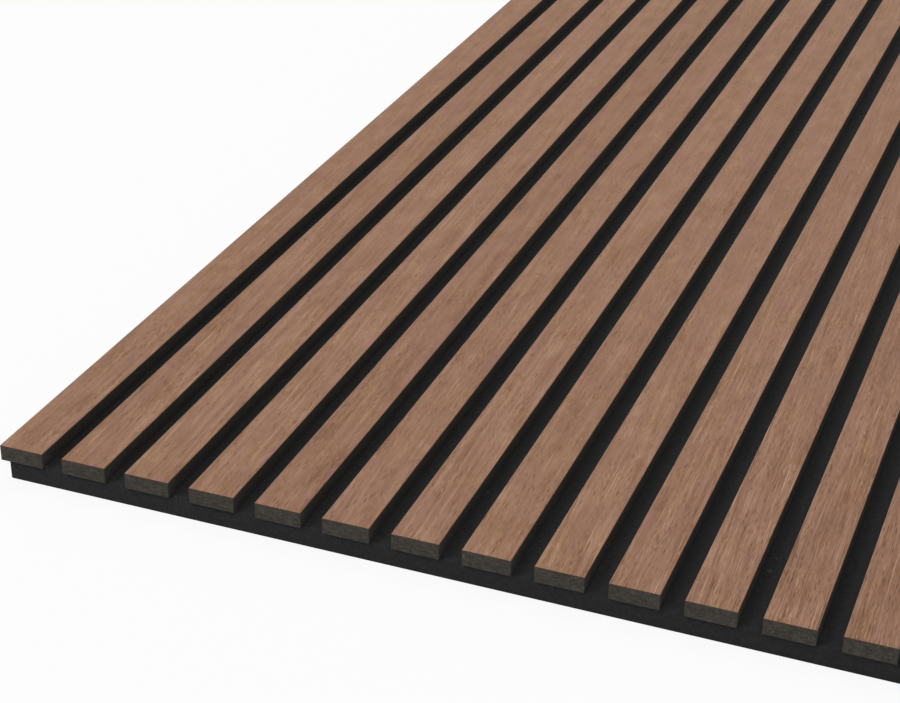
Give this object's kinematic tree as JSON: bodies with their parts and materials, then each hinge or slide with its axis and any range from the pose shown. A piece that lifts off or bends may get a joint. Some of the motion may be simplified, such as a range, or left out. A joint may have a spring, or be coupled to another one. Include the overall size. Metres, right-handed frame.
{
  "type": "acoustic slat wall panel",
  "caption": "Flat wall panel of parallel veneered wooden slats with black sides and even gaps between them, fixed to a black felt board that absorbs sound.",
  "frame": {"origin": "centre of the felt board's back face, which lies against the wall", "axes": "+Z out of the slatted face, Y along the slats, X across them, with the slat that passes the felt's edge at -X"},
  "size_m": [0.6045, 2.4, 0.0216],
  "materials": {
    "walnut_veneer": "matt, open pored walnut veneer",
    "black_fibreboard": "black through-dyed fibreboard, matt",
    "felt": "needled polyester felt, matt black",
    "staple_steel": "galvanised flat wire"
  },
  "bodies": {
    "root": {"felt_backing": "felt", "staples": "staple_steel", "slat_core_01": "black_fibreboard", "slat_veneer_01": "walnut_veneer", "slat_core_02": "black_fibreboard", "slat_veneer_02": "walnut_veneer", "slat_core_03": "black_fibreboard", "slat_veneer_03": "walnut_veneer", "slat_core_04": "black_fibreboard", "slat_veneer_04": "walnut_veneer", "slat_core_05": "black_fibreboard", "slat_veneer_05": "walnut_veneer", "slat_core_06": "black_fibreboard", "slat_veneer_06": "walnut_veneer", "slat_core_07": "black_fibreboard", "slat_veneer_07": "walnut_veneer", "slat_core_08": "black_fibreboard", "slat_veneer_08": "walnut_veneer", "slat_core_09": "black_fibreboard", "slat_veneer_09": "walnut_veneer", "slat_core_10": "black_fibreboard", "slat_veneer_10": "walnut_veneer", "slat_core_11": "black_fibreboard", "slat_veneer_11": "walnut_veneer", "slat_core_12": "black_fibreboard", "slat_veneer_12": "walnut_veneer", "slat_core_13": "black_fibreboard", "slat_veneer_13": "walnut_veneer", "slat_core_14": "black_fibreboard", "slat_veneer_14": "walnut_veneer", "slat_core_15": "black_fibreboard", "slat_veneer_15": "walnut_veneer"}
  },
  "joints": []
}
